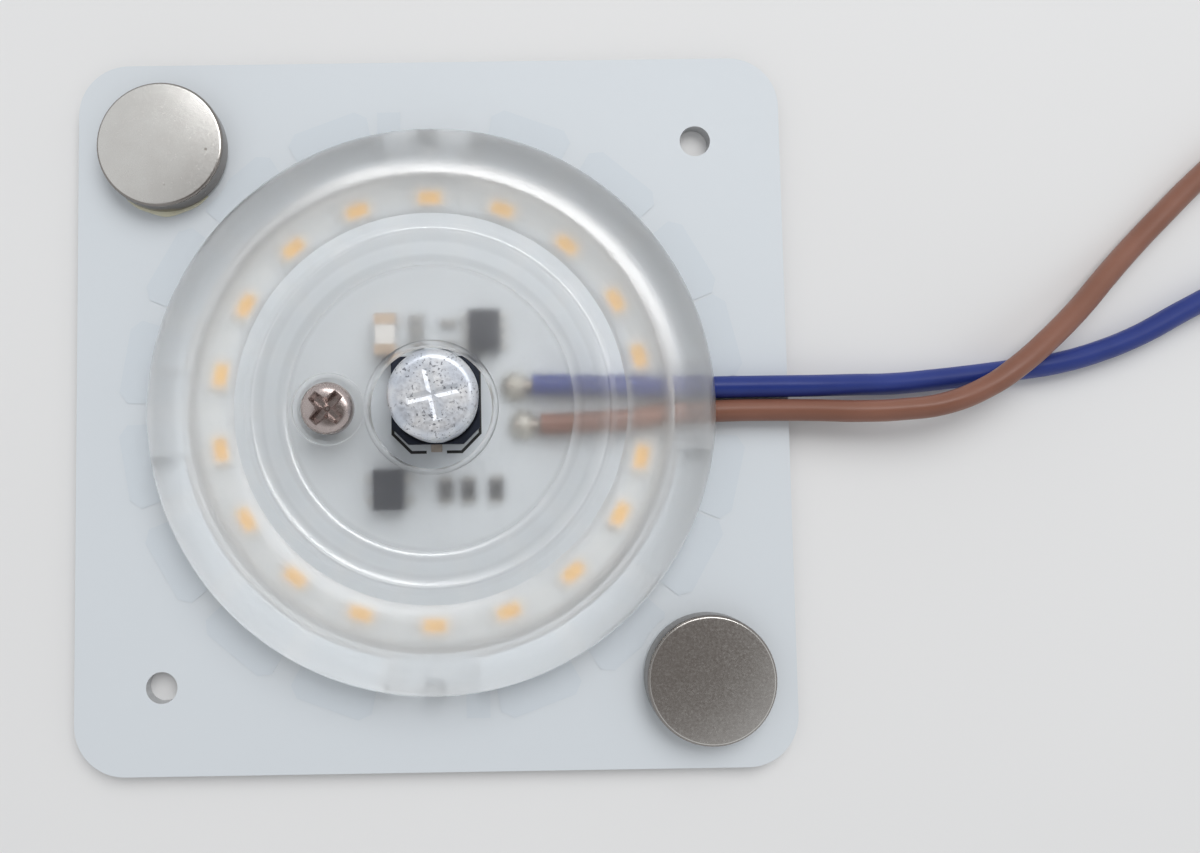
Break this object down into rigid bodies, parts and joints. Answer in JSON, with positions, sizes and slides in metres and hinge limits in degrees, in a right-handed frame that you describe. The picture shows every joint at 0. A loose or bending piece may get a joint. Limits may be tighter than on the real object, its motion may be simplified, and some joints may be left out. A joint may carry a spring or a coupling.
{
  "type": "magnetic led module",
  "caption": "Square aluminium LED board with a clear ring lens over its LEDs, a capacitor in the middle, corner magnets, screw holes and a pair of lead wires.",
  "frame": {"origin": "middle of the board's back face, on which the module lies", "axes": "+Z out of the lit face; +X towards the side where the leads come out"},
  "size_m": [0.1685, 0.085, 0.0119],
  "materials": {
    "white_mask_board": "satin white solder mask over aluminium",
    "frosted_lens": "clear moulded acrylic with a frosted inner disc",
    "nickel_screw": "dull nickel plate",
    "black_moulding": "fine matt moulding",
    "bare_can": "satin drawn aluminium",
    "tinned_metal": "bright tin plate",
    "phosphor": "soft translucent resin",
    "led_housing": "white moulding",
    "resistor_body": "dark glaze",
    "chip_ceramic": "fired ceramic",
    "fuse_ceramic": "white ceramic",
    "fuse_brass": "bright plated brass",
    "copper_strands": "bare stranded copper",
    "solder": "bright solder",
    "blue_insulation": "smooth flexible insulation",
    "brown_insulation": "smooth flexible insulation",
    "nickel_magnet": "satin nickel plate",
    "clear_glue": "hardened clear glue"
  },
  "bodies": {
    "root": {"circuit_board": "white_mask_board", "lens_cover": "frosted_lens", "lens_screw": "nickel_screw", "capacitor_base": "black_moulding", "capacitor_can": "bare_can", "capacitor_terminals": "tinned_metal", "led_phosphor": "phosphor", "led_terminals": "tinned_metal", "driver_chip": "black_moulding", "driver_legs": "tinned_metal", "bridge_rectifier": "black_moulding", "rectifier_legs": "tinned_metal", "resistor_ends": "tinned_metal", "small_chip_ends": "tinned_metal", "fuse_body": "fuse_ceramic", "fuse_caps": "fuse_brass", "soldered_ends": "copper_strands", "solder_joints": "solder", "blue_lead": "blue_insulation", "brown_lead": "brown_insulation", "blue_lead_tip": "copper_strands", "brown_lead_tip": "copper_strands", "magnet_upper": "nickel_magnet", "magnet_lower": "nickel_magnet", "magnet_glue": "clear_glue", "led_1": "led_housing", "led_2": "led_housing", "led_3": "led_housing", "led_4": "led_housing", "led_5": "led_housing", "led_6": "led_housing", "led_7": "led_housing", "led_8": "led_housing", "led_9": "led_housing", "led_10": "led_housing", "led_11": "led_housing", "led_12": "led_housing", "led_13": "led_housing", "led_14": "led_housing", "led_15": "led_housing", "led_16": "led_housing", "led_17": "led_housing", "led_18": "led_housing", "sense_resistor_1": "resistor_body", "sense_resistor_2": "resistor_body", "sense_resistor_3": "resistor_body", "small_chip_1": "chip_ceramic", "small_chip_2": "chip_ceramic", "small_chip_3": "chip_ceramic", "small_chip_4": "chip_ceramic", "small_chip_5": "chip_ceramic"}
  },
  "joints": []
}
